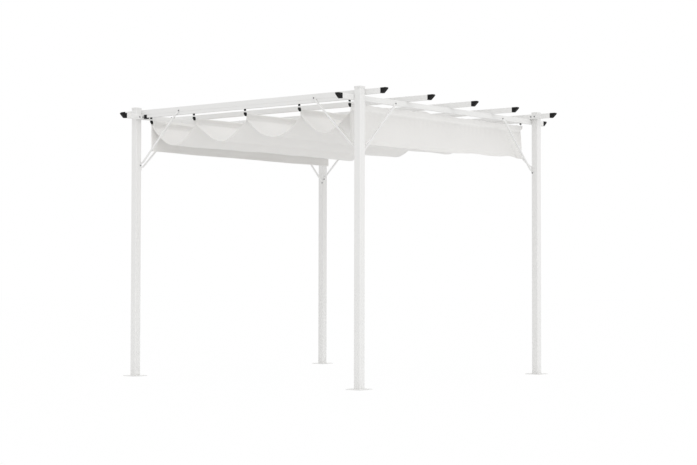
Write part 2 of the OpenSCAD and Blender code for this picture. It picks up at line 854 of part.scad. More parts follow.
// A valance that hangs free below the bar i, with soft folds that deepen towards its hem
module valance(i, drop, taper, turn) {
    top = sleeve_bottom - seat_gap;
    fold = function (s, v)
        fold_depth * v * (0.7 * sin(360 * 3.2 * s + turn) + 0.3 * sin(360 * 7.1 * s + 2 * turn));
    grid = function (side) [
        for (j = [0:ROWS_DROP], k = [0:ROWS_VALANCE])
            let (
                v = j / ROWS_DROP,
                s = k / ROWS_VALANCE,
                hem = top - drop + taper * s + 3 * sin(360 * 2.3 * s + turn)
            )
                [
                    bars[i] + fold(s, v) + side * cloth_t / 2,
                    mix(-cloth_edge, cloth_edge, s),
                    mix(top, hem, v)
                ]
    ];
    color(CREAM)
        sheet(grid(1), grid(-1), ROWS_VALANCE, ROWS_DROP);
}

post(FRONT_LEFT);  // post_front_left
post(FRONT_RIGHT);  // post_front_right
post(REAR_RIGHT);  // post_rear_right
post(REAR_LEFT);  // post_rear_left
base(FRONT_LEFT);  // base_front_left
base(FRONT_RIGHT);  // base_front_right
base(REAR_RIGHT);  // base_rear_right
base(REAR_LEFT);  // base_rear_left
post_caps();
beam(-1);  // beam_left
beam(1);  // beam_right
rafter(rafter_rows[0]);  // rafter_front
rafter(rafter_rows[1]);  // rafter_2
rafter(rafter_rows[2]);  // rafter_3
rafter(rafter_rows[3]);  // rafter_4
rafter(rafter_rows[4]);  // rafter_rear
beam_end_caps();
rafter_end_caps();
slide_rail(-1);  // slide_rail_front
slide_rail(1);  // slide_rail_rear
rail_end_stops();
rail_screws();
rail_lock_screws();
rafter_brace(FRONT_LEFT);  // rafter_brace_front_left
rafter_brace(FRONT_RIGHT);  // rafter_brace_front_right
rafter_brace(REAR_RIGHT);  // rafter_brace_rear_right
rafter_brace(REAR_LEFT);  // rafter_brace_rear_left
beam_brace(FRONT_LEFT);  // beam_brace_front_left
beam_brace(FRONT_RIGHT);  // beam_brace_front_right
beam_brace(REAR_RIGHT);  // beam_brace_rear_right
beam_brace(REAR_LEFT);  // beam_brace_rear_left
brace_bolts();
beam_bolts();
rafter_bolts();
crossing_bolts();
foot_screws();
canopy_bar(0);  // canopy_bar_1
canopy_bar(1);  // canopy_bar_2
canopy_bar(2);  // canopy_bar_3
canopy_bar(3);  // canopy_bar_4
canopy_bar(4);  // canopy_bar_5
carriers(0);  // carriers_1
carriers(1);  // carriers_2
carriers(2);  // carriers_3
carriers(3);  // carriers_4
carriers(4);  // carriers_5
canopy_sleeve(0);  // canopy_sleeve_1
canopy_sleeve(1);  // canopy_sleeve_2
canopy_sleeve(2);  // canopy_sleeve_3
canopy_sleeve(3);  // canopy_sleeve_4
canopy_sleeve(4);  // canopy_sleeve_5
canopy_panel(0);  // canopy_panel_1
canopy_panel(1);  // canopy_panel_2
canopy_panel(2);  // canopy_panel_3
canopy_panel(3);  // canopy_panel_4
valance(0, left_valance, left_taper, 40);  // valance_left
valance(4, right_valance, right_taper, 150);  // valance_right
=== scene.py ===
"""The looks of the pergola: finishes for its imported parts, and the cloth of its canopy.

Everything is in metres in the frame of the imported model. The cloth takes its places from the
bars, sleeves and rails of that frame, and its drops, hems and ends from the photograph.
"""

import json
import math
from types import SimpleNamespace

import bpy
import numpy as np
from mathutils import Matrix, Vector

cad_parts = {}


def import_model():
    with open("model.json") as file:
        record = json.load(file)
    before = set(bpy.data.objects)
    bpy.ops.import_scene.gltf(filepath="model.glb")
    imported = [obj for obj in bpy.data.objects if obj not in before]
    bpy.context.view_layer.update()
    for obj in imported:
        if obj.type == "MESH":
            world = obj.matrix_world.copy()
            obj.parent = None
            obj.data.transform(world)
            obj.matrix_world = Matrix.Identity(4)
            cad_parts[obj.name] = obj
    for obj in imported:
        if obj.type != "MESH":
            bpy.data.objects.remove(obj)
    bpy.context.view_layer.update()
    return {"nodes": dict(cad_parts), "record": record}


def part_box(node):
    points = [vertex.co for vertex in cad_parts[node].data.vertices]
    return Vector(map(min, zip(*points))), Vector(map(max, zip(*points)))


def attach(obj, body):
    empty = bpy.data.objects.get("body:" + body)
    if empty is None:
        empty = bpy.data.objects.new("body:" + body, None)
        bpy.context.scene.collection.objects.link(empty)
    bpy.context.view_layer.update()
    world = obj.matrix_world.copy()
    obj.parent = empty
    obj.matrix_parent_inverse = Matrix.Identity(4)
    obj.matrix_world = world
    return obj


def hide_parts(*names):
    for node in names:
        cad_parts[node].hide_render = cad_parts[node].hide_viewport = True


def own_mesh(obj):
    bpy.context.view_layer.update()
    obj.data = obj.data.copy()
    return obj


# Camera, from a match of the photograph's post, beam and rafter edges
CAMERA_AT = (8.6989, -10.4265, 0.8674)
CAMERA_YAW = 0.689035
CAMERA_PITCH = 0.027076
CAMERA_ROLL = 0.001689
CAMERA_LENS = 80.744
SENSOR_WIDTH = 36.0
CAMERA_REACH = 200.0

# Strength of the world as a light, and as the camera sees it
WORLD_LIGHT = 0.91
WORLD_SEEN = 1.0

# Floor: half its width, its gap below the feet, and the share of it that glows where the camera
# sees it and where it only reflects light
FLOOR_HALF = 40
FLOOR_GAP = 0.0005
FLOOR_GLOW_SEEN = 0.98
FLOOR_GLOW = 0.30

# Cloth, its hems, the narrow step from a hem to the single cloth, and the distance between the
# threads of its weave
CLOTH_THICK = 0.0009
HEM_THICK = 0.0021
HEM_WIDTH = 0.022
HEM_STEP = 0.0012
THREAD_PITCH = 0.0011

# Stitches, and how far they are lifted off the cloth
STITCH_PITCH = 0.005
STITCH_LENGTH = 0.0038
STITCH_HALF_WIDTH = 0.00045
STITCH_LIFT = 0.0002

# Lines of a hem in the meshes: its middle and where it stops, from the near side of the sheet,
# and its middle from the far side
HEM_MIDDLE = 1
HEM_STOP = 2
FAR_HEM_MIDDLE = -2

# Seams below the bars: half their thickness, how far below the middle of the bar they start, and
# how far below that their stitches run
SEAM_HALF = 0.0018
SLEEVE_SEAM_DROP = 0.021
SEAM_STITCH_DROP = 0.0012

# Tab of a swag inside the seam, and the shares of it where the mesh has lines
TAB = 0.018
TAB_SHARES = (1.0, 0.55)

# Sleeves: their play round the bar and inside the seam, and where their sides are loose, as
# distances below the middle of the bar and above the start of the seam
SLEEVE_PLAY = 0.0003
SEAM_PLAY = 0.0001
LOOSE_BELOW_BAR = (0.001, 0.007)
LOOSE_ABOVE_SEAM = (-0.0015, 0.0045)

# Creases across the loose sides of a sleeve: depth of the small ones, and of the broad ones the
# depth, the radian and the factor of their phase
CREASE_DEPTH = 0.00035
BROAD_CREASE_DEPTH = 0.0006
BROAD_CREASE_RADIAN = 0.061
BROAD_CREASE_PHASE = 1.7

# Shape of each swag, from left to right: depth at the front, how round its bottom is, the
# share of the bay where it is lowest, and the phase of its waves along Y
SWAG_DROPS = (0.162, 0.159, 0.154, 0.152)
SWAG_ROUND = (1.13, 0.49, 4.0, 0.58)
SWAG_MIDDLE = (0.506, 0.533, 0.543, 0.481)
SWAG_PHASES = (0.4, 2.1, 3.7, 5.2)

# How much less deep a swag is at the rear, and the waves of its depth and their radians from the
# front to the rear
SWAG_RISE = 0.002
SWAG_WAVE = 0.003
SWAG_WAVE_TURN = 7.5

# Ripples along Y: the length of one radian, how many radians their crests wander, and the
# length of one radian of that
SWAG_GATHERS = dict(radian=0.0085, sway=2.6, sway_radian=0.083)
SWAG_FOLDS = dict(radian=0.13, sway=1.9, sway_radian=0.41)
SLEEVE_CREASES = dict(radian=0.0115, sway=2.2, sway_radian=0.09)
HEADER_RUFFLES = dict(radian=0.043, sway=1.6, sway_radian=0.17)
VALANCE_GATHERS = dict(radian=0.011, sway=2.4, sway_radian=0.12)

# Gathers of a swag at its seams: height, the distance from the bar where they are full and the
# distance over which they fade, and the share and radian of a slower wave among them
GATHER_HEIGHT = 0.0012
GATHER_FULL = 0.012
GATHER_FADE = 0.045
SLOW_GATHER = 0.6
SLOW_GATHER_RADIAN = 0.0193

# Broad folds of a swag: height, the distance from the bar where they are full, and their slant
# as radians from bar to bar
BROAD_HEIGHT = 0.0022
BROAD_FULL = 0.15
BROAD_SLANT = 2.0

# Bunched cloth of the last swag near the front end of the pull bar: its reach along Y, full and
# at its end, the shares of the bay where it starts, is full, stops being full and ends, and the
# height and radian of its gathers
BUNCHED_SWAG = 3
BUNCH_FULL = 0.08
BUNCH_END = 0.16
BUNCH_SHARES = (0.86, 0.94, 0.96, 1.0)
BUNCH_HEIGHT = 0.0035
BUNCH_RADIAN = 0.0052

# Each valance: its piece and the CAD node it stands for, its bar and the side of it, its ends
# along Y, how far its top stands above the bar, its drop below the seam and the phase of its
# folds. Then how far its top puffs up, how far its rear corner flares out, and how far the top
# of its rear end leans out and along Y.
LEFT_VALANCE = SimpleNamespace(
    name="left_valance", node="valance_left", bar=0, side=-1,
    ends=(-1.188, 1.156), stand=0.017, drop=0.204, phase=0.7,
    puff=0.0, flare=0.0, ear=(0.0, 0.0),
)
RIGHT_VALANCE = SimpleNamespace(
    name="right_valance", node="valance_right", bar=4, side=1,
    ends=(-1.182, 1.184), stand=0.010, drop=0.244, phase=2.6,
    puff=0.012, flare=0.020, ear=(0.006, 0.012),
)

# Header of a valance, by height above the seam: where its band starts, where it comes out past
# the sleeve and how far in thicknesses of cloth, and where its top is ruffled. The band is painted
# light: a cloth that lets almost no light through, so the header reads lighter where the beam
# shades it. Then the place and width of its puff along Y, and the shares of the width and the
# heights where its end leans out.
PAINTED_LIGHT_BAND_START = 0.004
PAST_SLEEVE = (0.010, 0.038)
PAST_SLEEVE_CLOTHS = 2.4
RUFFLED = (0.03, 0.06)
RUFFLE_HEIGHT = 0.0025
RUFFLE_SINK = 0.003
SMALL_RUFFLE_HEIGHT = 0.0015
SMALL_RUFFLE_RADIAN = 0.0165
PUFF_AT = -0.27
PUFF_WIDTH = 0.13
EAR_SHARES = (0.975, 1.0)
EAR_HEIGHTS = (0.022, 0.038)

# Gathers of a valance at its seam: heights above and below it, the height and the share of the
# drop where they are full, and the share of the drop over which they fade
GATHER_ABOVE = 0.0006
GATHER_BELOW = 0.0007
GATHER_ABOVE_FULL = 0.012
GATHER_BELOW_FULL = 0.06
GATHER_BELOW_FADE = 0.16

# Folds of a hanging valance: depth, the share of the drop where they are full, and the number
# and the share of the wide and the narrow ones
FOLD_DEPTH = 0.007
FOLD_FULL = 0.3
WIDE_FOLDS = 3.2
WIDE_SHARE = 0.7
NARROW_FOLDS = 7.1
NARROW_SHARE = 0.3

# Flared rear corner of a valance: the share of its width where it starts and how it grows with
# the drop, and the slanted crease in front of it, by shares of the width and of the drop
FLARE_START = 0.9
FLARE_POWER = 0.8
FLARE_CREASE = 0.7
FLARE_CREASE_AT = 0.905
FLARE_CREASE_SLANT = 0.075
FLARE_CREASE_WIDTH = 0.0105
FLARE_CREASE_DROPS = (-0.1, 0.4)

# Hem of the left valance: a slow wave, its radians along the width and its phase
LEFT_HEM_WAVE = 0.0015
LEFT_HEM_TURN = 14.5
LEFT_HEM_PHASE = 0.7

# Hem of the right valance, by shares of its width: a lift towards the rear, a wave with the
# share where it is level and the share where it is full, and a short rise near the rear end
RIGHT_HEM_LIFT = 0.014
RIGHT_HEM_LIFTS = (0.52, 0.70)
RIGHT_HEM_WAVE = 0.0025
RIGHT_HEM_TURN = 34.0
RIGHT_HEM_LEVEL_AT = 0.66
RIGHT_HEM_WAVE_FULL = 0.5
RIGHT_HEM_RISE = 0.012
RIGHT_HEM_RISE_AT = 0.925
RIGHT_HEM_RISE_WIDTH = 0.035

# Numbers of lines in the meshes of the cloth, the shares of a sleeve's slope from its seam to
# the bar where lines run, the angle from which an edge is sharp, and room for rounding
SWAG_COLUMNS = 150
SWAG_ROWS = 61
SLEEVE_COLUMNS = 150
SLEEVE_TURN_ROWS = 23
SEAM_ROWS = 4
SLOPE_SHARES = (0.2, 0.45, 0.72)
VALANCE_COLUMNS = 210
HEADER_ROWS = 12
VALANCE_ROWS = 26
SHARP_ANGLE = 50
ROUNDING = 1e-6

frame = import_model()


def middle(node):
    """The middle of a CAD node's box."""
    lo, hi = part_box(node)
    return (lo + hi) / 2


# Places from the frame. The rails end 3 mm short of the beams' inner faces, so RAIL_GAP takes
# INNER_FACE just past those.
RAIL_GAP = 0.004
BARS = [middle(f"canopy_bar_{i}").x for i in range(1, 6)]
BODIES = ["frame", "second_bar", "third_bar", "fourth_bar", "pull_bar"]
BAR_R = (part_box("canopy_bar_1")[1].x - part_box("canopy_bar_1")[0].x) / 2
BAR_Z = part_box("canopy_bar_1")[0].z + BAR_R
SEAM_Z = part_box("canopy_sleeve_1")[0].z
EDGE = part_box("canopy_sleeve_1")[1].y
INNER_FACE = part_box("slide_rail_front")[1].x + RAIL_GAP


def mix(a, b, t):
    """The value at the share t of the way from a to b."""
    return a + (b - a) * t


def rise(value, start, end):
    """0 before the start, 1 past the end and a soft step between."""
    t = np.clip((value - start) / (end - start), 0, 1)
    return t * t * (3 - 2 * t)


def hump(value, at, width):
    """1 at the given place, and 0 away from it."""
    return np.exp(-(((value - at) / width) ** 2))


def ripple(y, phase, radian, sway, sway_radian, shift=0.0):
    """A wave along Y from -1 to 1, whose crests wander to and fro."""
    return np.sin(y / radian + sway * np.sin(y / sway_radian + phase) + shift)


# Node helpers for the materials and the world


class Shader:
    """The node tree of a material or world, with short calls for its nodes and links."""

    def __init__(self, owner):
        self.owner = owner
        self.owner.use_nodes = True
        self.tree = self.owner.node_tree
        self.tree.nodes.clear()

    def node(self, kind, **settings):
        """A new node with its settings."""
        made = self.tree.nodes.new(kind)
        for key, value in settings.items():
            setattr(made, key, value)
        return made

    def link(self, out, into):
        """Links an output to an input."""
        self.tree.links.new(out, into)

    def put(self, node, socket, value):
        """Sets a socket to a number or colour, or links it to another node's output."""
        if isinstance(value, bpy.types.NodeSocket):
            self.link(value, node.inputs[socket])
        else:
            node.inputs[socket].default_value = value

    def math(self, operation, *values):
        """One operation on numbers or outputs."""
        made = self.node("ShaderNodeMath", operation=operation)
        for i, value in enumerate(values):
            self.put(made, i, value)
        return made.outputs[0]

    def noise(self, where, scale, detail, roughness=0.5):
        """Noise from 0 to 1 in the coordinates given."""
        made = self.node("ShaderNodeTexNoise")
        self.put(made, "Vector", where)
        made.inputs["Scale"].default_value = scale
        made.inputs["Detail"].default_value = detail
        made.inputs["Roughness"].default_value = roughness
        return made.outputs["Fac"]

    def remap(self, value, low, high):
        """A 0 to 1 value as low to high."""
        made = self.node("ShaderNodeMapRange")
        self.put(made, "Value", value)
        made.inputs["To Min"].default_value = low
        made.inputs["To Max"].default_value = high
        return made.outputs["Result"]

    def mix_colour(self, factor, a, b):
        """Colour a where the factor is 0 and b where it is 1."""
        made = self.node("ShaderNodeMix", data_type="RGBA")
        self.put(made, 0, factor)
        self.put(made, 6, a)
        self.put(made, 7, b)
        return made.outputs[2]

    def mix_shader(self, factor, a, b):
        """Shader a where the factor is 0 and b where it is 1."""
        made = self.node("ShaderNodeMixShader")
        self.put(made, 0, factor)
        self.link(a, made.inputs[1])
        self.link(b, made.inputs[2])
        return made.outputs[0]

    def place(self):
        """The piece's own coordinates."""
        return self.node("ShaderNodeTexCoord").outputs["Object"]

    def stretched(self, scale):
        """The piece's own coordinates, scaled along each axis."""
        made = self.node("ShaderNodeMapping")
        self.link(self.place(), made.inputs["Vector"])
        made.inputs["Scale"].default_value = scale
        return made.outputs["Vector"]

    def split(self, vector):
        """The outputs X, Y and Z of a vector."""
        made = self.node("ShaderNodeSeparateXYZ")
        self.link(vector, made.inputs[0])
        return made.outputs

    def seen(self):
        """1 where the camera sees the surface, also in a mirror or through glass, and else 0."""
        path = self.node("ShaderNodeLightPath")
        seen = self.math("MAXIMUM", path.outputs["Is Camera Ray"], path.outputs["Is Glossy Ray"])
        return self.math("MAXIMUM", seen, path.outputs["Is Transmission Ray"])

    def bump(self, height, strength, distance, under=None):
        """A normal with bumps, over another bumped normal if one is given."""
        made = self.node("ShaderNodeBump")
        self.put(made, "Height", height)
        made.inputs["Strength"].default_value = strength
        made.inputs["Distance"].default_value = distance
        if under is not None:
            self.link(under, made.inputs["Normal"])
        return made.outputs["Normal"]

    def principled(self, **sockets):
        """A principled shader, whose sockets are named with _ for a space."""
        made = self.node("ShaderNodeBsdfPrincipled")
        for name, value in sockets.items():
            self.put(made, name.replace("_", " "), value)
        return made.outputs[0]

    def finish(self, surface):
        """Links the shader to the output, and returns the finished material or world."""
        kind = "World" if isinstance(self.owner, bpy.types.World) else "Material"
        out = self.node(f"ShaderNodeOutput{kind}")
        self.link(surface, out.inputs["Surface"])
        return self.owner


def new_material(name):
    """The empty node tree of a new material."""
    return Shader(bpy.data.materials.new(name))


# Materials


def powder_coat():
    """White powder coat on steel: satin, with a fine orange peel and faint cloudiness."""
    s = new_material("powder_coat")
    cloud = s.noise(s.place(), scale=2.5, detail=3.0)
    fine = s.noise(s.place(), scale=160.0, detail=2.0)
    peel = s.noise(s.place(), scale=620.0, detail=1.0)
    return s.finish(s.principled(
        Base_Color=s.mix_colour(cloud, (0.756, 0.753, 0.743, 1), (0.796, 0.793, 0.783, 1)),
        Roughness=s.remap(fine, 0.38, 0.5),
        IOR=1.5,
        Normal=s.bump(peel, strength=0.25, distance=0.0002),
    ))


def cap_plastic():
    """White moulded plastic of the post caps: matt, slightly darker than the coat."""
    s = new_material("cap_plastic")
    cloud = s.noise(s.place(), scale=30.0, detail=2.0)
    grain = s.noise(s.place(), scale=1500.0, detail=1.0)
    return s.finish(s.principled(
        Base_Color=s.mix_colour(cloud, (0.73, 0.727, 0.717, 1), (0.77, 0.767, 0.757, 1)),
        Roughness=0.52,
        IOR=1.47,
        Normal=s.bump(grain, strength=0.2, distance=0.00012),
    ))


def black_plastic():
    """Black moulded plastic with a fine texture."""
    s = new_material("black_plastic")
    dust = s.noise(s.place(), scale=45.0, detail=4.0)
    grain = s.noise(s.place(), scale=1800.0, detail=1.0)
    return s.finish(s.principled(
        Base_Color=s.mix_colour(dust, (0.006, 0.006, 0.006, 1), (0.014, 0.014, 0.0145, 1)),
        Roughness=s.remap(dust, 0.46, 0.62),
        IOR=1.46,
        Specular_IOR_Level=0.14,
        Normal=s.bump(grain, strength=0.3, distance=0.00015),
    ))


def dull_zinc():
    """Zinc plated steel of the bolts: grey and dull. The nuts inside the frame are coated white."""
    s = new_material("dull_zinc")
    wear = s.noise(s.place(), scale=220.0, detail=3.0)
    zinc = s.mix_colour(wear, (0.16, 0.16, 0.165, 1), (0.28, 0.28, 0.285, 1))
    place = s.split(s.place())
    within = [s.math("LESS_THAN", s.math("ABSOLUTE", place[axis]), INNER_FACE) for axis in "XY"]
    inside = s.math("MULTIPLY", *within)
    metallic = 0.7
    return s.finish(s.principled(
        Base_Color=s.mix_colour(inside, zinc, (0.776, 0.773, 0.763, 1)),
        Metallic=s.math("MULTIPLY_ADD", inside, -metallic, metallic),
        Roughness=s.remap(wear, 0.38, 0.55),
        Normal=s.bump(wear, strength=0.15, distance=0.0001),
    ))


def drawn_aluminium():
    """Drawn tube: fine streaks along Y."""
    s = new_material("drawn_aluminium")
    streak = s.noise(s.stretched((900.0, 6.0, 900.0)), scale=1.0, detail=3.0)
    return s.finish(s.principled(
        Base_Color=s.mix_colour(streak, (0.62, 0.63, 0.64, 1), (0.76, 0.77, 0.78, 1)),
        Metallic=1.0,
        Roughness=s.remap(streak, 0.28, 0.42),
        Normal=s.bump(streak, strength=0.12, distance=0.00005),
    ))


def woven_cloth(name, light, dark, through):
    """Off-white woven polyester, which lets some light through. The weave follows the cloth."""
    s = new_material(name)
    flat = s.node("ShaderNodeUVMap", uv_map="cloth").outputs["UV"]
    along = s.split(flat)
    turns = 2 * math.pi / THREAD_PITCH
    threads = [s.math("SINE", s.math("MULTIPLY", along[axis], turns)) for axis in "XY"]
    weave = s.math("MULTIPLY_ADD", s.math("MULTIPLY", *threads), 0.5, 0.5)
    slub = s.noise(flat, scale=260.0, detail=3.0, roughness=0.6)
    cloud = s.noise(s.place(), scale=3.2, detail=3.0)
    shade = s.math("ADD", s.math("MULTIPLY", cloud, 0.6), s.math("MULTIPLY", slub, 0.4))
    colour = s.mix_colour(shade, dark, light)
    crease = s.noise(s.place(), scale=9.0, detail=4.0, roughness=0.55)
    soft = s.bump(crease, strength=0.25, distance=0.002)
    relief = s.math("ADD", weave, s.math("MULTIPLY", slub, 0.7))
    normal = s.bump(relief, strength=0.3, distance=0.0001, under=soft)
    front = s.principled(
        Base_Color=colour,
        Roughness=0.86,
        IOR=1.45,
        Specular_IOR_Level=0.25,
        Sheen_Weight=0.12,
        Sheen_Roughness=0.45,
        Normal=normal,
    )
    glow = s.node("ShaderNodeBsdfTranslucent")
    s.put(glow, "Color", colour)
    s.link(normal, glow.inputs["Normal"])
    return s.finish(s.mix_shader(through, front, glow.outputs[0]))


def sewing_thread():
    """Polyester thread, a little darker and glossier than the cloth."""
    s = new_material("sewing_thread")
    ply = s.noise(s.place(), scale=2500.0, detail=1.0)
    return s.finish(s.principled(
        Base_Color=s.mix_colour(ply, (0.70, 0.69, 0.67, 1), (0.80, 0.79, 0.77, 1)),
        Roughness=0.6,
        Sheen_Weight=0.2,
    ))


# Meshes


def new_piece(name, points, faces, material, flat=None):
    """A mesh object with smooth faces, sharp rims and, if flat is given, a map of the cloth."""
    mesh = bpy.data.meshes.new(name)
    mesh.from_pydata([tuple(p) for p in points], [], faces)
    if flat is not None:
        layer = mesh.uv_layers.new(name="cloth")
        corners = np.zeros(len(mesh.loops), int)
        mesh.loops.foreach_get("vertex_index", corners)
        layer.uv.foreach_set("vector", np.asarray(flat, np.float32)[corners].ravel())
    mesh.shade_smooth()
    mesh.set_sharp_from_angle(angle=math.radians(SHARP_ANGLE))
    mesh.materials.append(material)
    made = bpy.data.objects.new(name, mesh)
    bpy.context.scene.collection.objects.link(made)
    return made


def normals_of(grid):
    """Unit normals of a grid of points, shaped rows by columns by 3."""
    down = np.gradient(grid, axis=0)
    along = np.gradient(grid, axis=1)
    n = np.cross(down, along)
    return n / np.linalg.norm(n, axis=2, keepdims=True)


def lengths_along(grid, axis):
    """Lengths along the rows or columns of a grid, from its middle line."""
    steps = np.linalg.norm(np.diff(grid, axis=axis), axis=2)
    total = np.cumsum(steps, axis=axis)
    pad = [(1, 0), (0, 0)] if axis == 0 else [(0, 0), (1, 0)]
    total = np.pad(total, pad)
    centre = np.take(total, [total.shape[axis] // 2], axis=axis)
    return total - centre


def cloth_piece(name, grid, thick, material):
    """A closed sheet of cloth round a grid of middle points, with the given thicknesses."""
    rows, cols = grid.shape[:2]
    n = normals_of(grid) * (np.broadcast_to(thick, (rows, cols)) / 2)[:, :, None]
    points = np.concatenate([(grid + n).reshape(-1, 3), (grid - n).reshape(-1, 3)])
    flat = np.stack([lengths_along(grid, 1), lengths_along(grid, 0)], axis=2).reshape(-1, 2)
    half = rows * cols
    faces = []
    for j in range(rows - 1):
        for i in range(cols - 1):
            p = j * cols + i
            faces.append((p, p + cols, p + cols + 1, p + 1))
            faces.append((half + p, half + p + 1, half + p + cols + 1, half + p + cols))
    rim = [(0, i) for i in range(cols)]
    rim += [(j, cols - 1) for j in range(1, rows)]
    rim += [(rows - 1, i) for i in range(cols - 2, -1, -1)]
    rim += [(j, 0) for j in range(rows - 2, 0, -1)]
    ring = [j * cols + i for j, i in rim]
    for a, b in zip(ring, ring[1:] + ring[:1]):
        faces.append((a, b, half + b, half + a))
    return new_piece(name, points, faces, material, np.concatenate([flat, flat]))


def stitches(name, rows, material):
    """A mesh of short stitches along each row, which is (points, normals) on a surface."""
    points = []
    faces = []
    for path, lifts in rows:
        steps = np.linalg.norm(np.diff(path, axis=0), axis=1)
        along = np.concatenate([[0], np.cumsum(steps)])
        starts = np.arange(STITCH_PITCH, along[-1] - STITCH_PITCH, STITCH_PITCH)
        ends = [starts, starts + STITCH_LENGTH / 2, starts + STITCH_LENGTH]
        a, m, b = (np.stack([np.interp(e, along, path[:, k]) for k in range(3)], 1) for e in ends)
        n = np.stack([np.interp(ends[1], along, lifts[:, k]) for k in range(3)], 1)
        n /= np.linalg.norm(n, axis=1, keepdims=True)
        side = np.cross(b - a, n)
        side /= np.linalg.norm(side, axis=1, keepdims=True)
        w = STITCH_HALF_WIDTH
        for k in range(len(starts)):
            base = len(points)
            points += [a[k], b[k], m[k] + side[k] * w, m[k] - side[k] * w]
            points += [m[k] + n[k] * w, m[k] - n[k] * w]
            for p, q in ((2, 4), (4, 3), (3, 5), (5, 2)):
                faces.append((base, base + q, base + p))
                faces.append((base + 1, base + p, base + q))
    return new_piece(name, points, faces, material)


def hem_row(line, normals, side):
    """A row for stitches along a line in the middle of a hem's thickness, on one side of it."""
    lift = normals * side
    return line + lift * (HEM_THICK / 2 + STITCH_LIFT), lift


def hem_places(length, steps):
    """Shares 0 to 1 along a sheet's side, with close lines where the hem at each end stops."""
    hem = HEM_WIDTH / length
    step = HEM_STEP / length
    inner = np.linspace(hem + step, 1 - hem - step, steps)
    return np.concatenate([[0, hem / 2, hem], inner, [1 - hem, 1 - hem / 2, 1]])


def hem_thickness(share, length):
    """Thickness at each share of a side with a hem at both ends."""
    near = np.minimum(share, 1 - share) * length
    return np.where(near <= HEM_WIDTH + ROUNDING, HEM_THICK, CLOTH_THICK)


# Sleeves


def sleeve_profile():
    """Middle line of a sleeve's cloth in X and Z: up from the seam, round the bar and down."""
    r = BAR_R + SLEEVE_PLAY + CLOTH_THICK / 2
    seam = SEAM_Z - BAR_Z
    inner = CLOTH_THICK / 2 + SEAM_PLAY
    turn = math.acos(r / SLEEVE_SEAM_DROP) - math.pi / 2
    angles = np.linspace(turn, math.pi - turn, SLEEVE_TURN_ROWS)
    round_bar = [(r * math.cos(a), r * math.sin(a)) for a in angles]
    up = [(inner, z) for z in np.linspace(seam, -SLEEVE_SEAM_DROP, SEAM_ROWS)]
    slope = [tuple(mix(np.array(up[-1]), np.array(round_bar[0]), t)) for t in SLOPE_SHARES]
    first = up + slope
    last = [(-x, z) for x, z in reversed(first)]
    return np.array(first + round_bar + last)


def sleeve_grid(i, profile, y):
    """Middle points of the sleeve round bar i, with soft creases across its loose sides."""
    grid = np.zeros((len(profile), len(y), 3))
    grid[:, :, 0] = profile[:, 0][:, None]
    grid[:, :, 2] = profile[:, 1][:, None]
    grid[:, :, 1] = y[None, :]
    loose = rise(-grid[:, :, 2], *LOOSE_BELOW_BAR)
    loose *= rise(grid[:, :, 2] + SLEEVE_SEAM_DROP, *LOOSE_ABOVE_SEAM)
    phase = SWAG_PHASES[i % len(SWAG_PHASES)]
    crease = ripple(y, phase, **SLEEVE_CREASES)[None, :]
    broad = np.sin(y / BROAD_CREASE_RADIAN + BROAD_CREASE_PHASE * phase)[None, :]
    side = np.sign(grid[:, :, 0])
    grid[:, :, 0] += side * loose * (CREASE_DEPTH * crease + BROAD_CREASE_DEPTH * broad)
    grid[:, :, 0] += BARS[i]
    grid[:, :, 2] += BAR_Z
    return grid


def sleeve(i, cloth, thread):
    """The sewn sleeve round bar i, and its seam stitches."""
    profile = sleeve_profile()
    y = np.linspace(-EDGE, EDGE, SLEEVE_COLUMNS)
    made = cloth_piece(f"sleeve_{i + 1}", sleeve_grid(i, profile, y), CLOTH_THICK, cloth)
    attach(made, BODIES[i])
    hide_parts(f"canopy_sleeve_{i + 1}")
    rows = []
    for side in (-1, 1):
        path = np.stack([
            np.full_like(y, BARS[i] + side * (CLOTH_THICK + STITCH_LIFT)),
            y,
            np.full_like(y, BAR_Z - SLEEVE_SEAM_DROP - SEAM_STITCH_DROP),
        ], axis=1)
        rows.append((path, np.tile([float(side), 0.0, 0.0], (len(y), 1))))
    seam = stitches(f"sleeve_stitches_{i + 1}", rows, thread)
    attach(seam, BODIES[i])


# Swags


def swag_fall(i, u):
    """How far swag i has fallen, as a share of its depth, at each share of the bay."""
    low = SWAG_MIDDLE[i]
    c = SWAG_ROUND[i]
    out = np.where(u < low, (low - u) / low, (u - low) / (1 - low))
    return 1 - (np.sqrt(out ** 2 + c ** 2) - c) / (math.sqrt(1 + c ** 2) - c)


def swag_depth(i, s):
    """Depth of swag i at each share of the way from the front to the rear."""
    phase = SWAG_PHASES[i]
    wave = SWAG_WAVE * (np.sin(SWAG_WAVE_TURN * s + phase) - math.sin(phase))
    return SWAG_DROPS[i] - SWAG_RISE * s + wave


def seam_gathers(y, from_bar, phase):
    """Small gathers of a swag at its seams."""
    wave = ripple(y, phase, **SWAG_GATHERS)
    wave += SLOW_GATHER * np.sin(y / SLOW_GATHER_RADIAN + 2 * phase)
    return GATHER_HEIGHT * wave * rise(from_bar, 0, GATHER_FULL) * np.exp(-from_bar / GATHER_FADE)


def bunched(u, from_front):
    """Tight gathers near the front end of the pull bar."""
    start, full, still_full, end = BUNCH_SHARES
    place = rise(from_front, BUNCH_END, BUNCH_FULL) * rise(u, start, full)
    return BUNCH_HEIGHT * np.sin(from_front / BUNCH_RADIAN) * place * rise(u, end, still_full)


